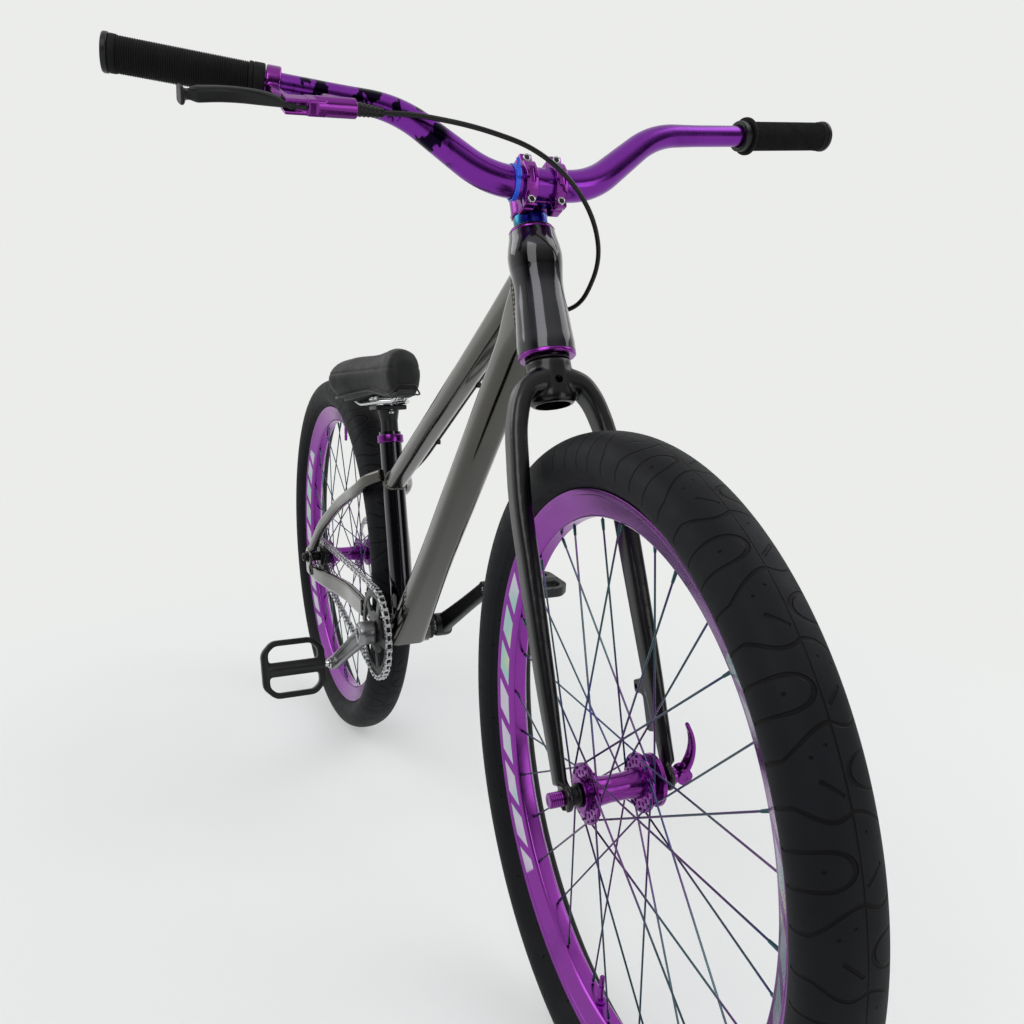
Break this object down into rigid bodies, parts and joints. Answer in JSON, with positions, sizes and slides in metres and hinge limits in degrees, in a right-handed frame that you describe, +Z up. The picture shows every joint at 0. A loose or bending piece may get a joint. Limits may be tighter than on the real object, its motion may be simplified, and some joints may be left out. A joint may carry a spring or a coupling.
{
  "type": "dirt jump bicycle",
  "caption": "Small rigid jump bicycle with fat smooth tyres, laced wheels, a riser handlebar, a low padded saddle, one chain drive and a rear disc brake.",
  "frame": {"origin": "on the ground, midway between the two wheels", "axes": "+X forward along the wheelbase, +Y to the rider's left, +Z up"},
  "size_m": [1.7298, 0.7863, 1.0192],
  "materials": {
    "purple_metal": "anodised purple, glossy",
    "raw_frame": "bare metal under clear gloss, warm grey",
    "smoked_frame": "dark translucent gloss over metal",
    "black_gloss": "black gloss",
    "black_metal": "black, satin",
    "silver_metal": "polished",
    "forged_alloy": "forged, silver grey",
    "oil_slick": "many-coloured oil-slick finish",
    "tyre_rubber": "matt black",
    "grip_rubber": "ribbed soft black rubber",
    "saddle_skin": "padded black synthetic cover",
    "saddle_shell": "dark grey shell",
    "hose_skin": "black hose",
    "tie_plastic": "blue"
  },
  "bodies": {
    "frame": {"head_tube": "smoked_frame", "top_tube": "raw_frame", "down_tube": "raw_frame", "seat_tube": "smoked_frame", "bottom_bracket_shell": "raw_frame", "chainstay_right": "raw_frame", "chainstay_left": "raw_frame", "seatstay_right": "raw_frame", "seatstay_left": "raw_frame", "headset_upper_cup": "purple_metal", "headset_lower_cup": "purple_metal", "bottom_bracket_cup_right": "black_metal", "bottom_bracket_cup_left": "black_metal", "seat_clamp": "purple_metal", "rear_axle": "black_metal", "rear_axle_nut_right": "black_metal", "rear_axle_nut_left": "black_metal", "rear_brake_caliper": "black_metal", "brake_hose": "hose_skin", "chain": "silver_metal"},
    "front_end": {"fork": "black_gloss", "headset_cover": "black_gloss", "headset_spacer": "oil_slick", "stem": "purple_metal", "stem_faceplate_right": "purple_metal", "stem_faceplate_left": "purple_metal", "stem_top_cap": "black_metal", "handlebar": "purple_metal", "grip_right": "grip_rubber", "grip_left": "grip_rubber", "brake_lever_body": "purple_metal", "cable_tie": "tie_plastic", "front_axle": "black_metal", "front_skewer": "purple_metal", "front_skewer_nut": "purple_metal"},
    "brake_lever": {"brake_lever_blade": "black_metal"},
    "quick_release": {"quick_release_lever": "purple_metal"},
    "front_wheel": {"front_tyre": "tyre_rubber", "front_rim": "purple_metal", "front_hub": "purple_metal"},
    "rear_wheel": {"rear_tyre": "tyre_rubber", "rear_rim": "purple_metal", "rear_hub": "purple_metal", "rear_disc_rotor": "silver_metal"},
    "driven_cog": {"rear_cog": "black_metal"},
    "cranks": {"crank_spindle": "silver_metal", "chainring": "black_metal", "crank_arm_right": "forged_alloy", "crank_arm_left": "black_metal", "pedal_axle_right": "silver_metal", "pedal_axle_left": "silver_metal"},
    "right_pedal": {"pedal_right": "black_metal"},
    "left_pedal": {"pedal_left": "black_metal"},
    "seat": {"seatpost": "black_metal", "saddle_clamp": "silver_metal", "saddle_rails": "silver_metal", "saddle_base": "saddle_shell", "saddle_cover": "saddle_skin"},
    "inner_pad": {"brake_pad_inner": "silver_metal"},
    "outer_pad": {"brake_pad_outer": "silver_metal"}
  },
  "joints": [
    {"name": "steering", "type": "hinge", "parent": "frame", "child": "front_end", "pos_m": [0.32705, 0, 0.79808], "axis": [-0.3223, 0, 0.9466], "range_deg": [-71.5, 78.5], "deforming": ["brake_hose"]},
    {"name": "front_wheel_spin", "type": "hinge", "parent": "front_end", "child": "front_wheel", "pos_m": [0.52693, -0.0025, 0.33794], "axis": [0.0578, 0.9981, 0.0197], "continuous": true},
    {"name": "rear_wheel_spin", "type": "hinge", "parent": "frame", "child": "rear_wheel", "pos_m": [-0.527, 0, 0.33797], "axis": [0, 1, 0], "continuous": true},
    {"name": "crank_spin", "type": "hinge", "parent": "frame", "child": "cranks", "pos_m": [-0.15047, 0, 0.29596], "axis": [0, 1, 0], "continuous": true, "deforming": ["chain"]},
    {"name": "cog_spin", "type": "hinge", "parent": "frame", "child": "driven_cog", "pos_m": [-0.527, 0, 0.33797], "axis": [0, 1, 0], "continuous": true},
    {"name": "right_pedal_spin", "type": "hinge", "parent": "cranks", "child": "right_pedal", "pos_m": [-0.29381, 0, 0.20181], "axis": [0, 1, 0], "continuous": true},
    {"name": "left_pedal_spin", "type": "hinge", "parent": "cranks", "child": "left_pedal", "pos_m": [-0.00713, 0, 0.39012], "axis": [0, 1, 0], "continuous": true},
    {"name": "brake_lever_pull", "type": "hinge", "parent": "front_end", "child": "brake_lever", "pos_m": [0.3175, -0.24454, 0.95068], "axis": [-0.5198, 0.0219, -0.854], "range_deg": [0, 15], "stiffness_Nm_per_rad": 0.6, "springref_deg": -5.73},
    {"name": "inner_pad_slide", "type": "slide", "parent": "frame", "child": "inner_pad", "axis": [0, 1, 0], "range_m": [0, 0.0005]},
    {"name": "outer_pad_slide", "type": "slide", "parent": "frame", "child": "outer_pad", "axis": [0, -1, 0], "range_m": [0, 0.0005]},
    {"name": "quick_release_swing", "type": "hinge", "parent": "front_end", "child": "quick_release", "pos_m": [0.53104, 0.06846, 0.33934], "axis": [-0.9766, 0.0524, 0.2084], "range_deg": [0, 170]},
    {"name": "seatpost_slide", "type": "slide", "parent": "frame", "child": "seat", "axis": [-0.2096, 0, 0.9778], "range_m": [-0.015, 0.05]}
  ],
  "couplings": [
    {"joint": "cog_spin", "follows": "crank_spin", "ratio": 2.25},
    {"joint": "inner_pad_slide", "follows": "brake_lever_pull", "m_per_rad": 0.001872},
    {"joint": "outer_pad_slide", "follows": "brake_lever_pull", "m_per_rad": 0.001872}
  ]
}
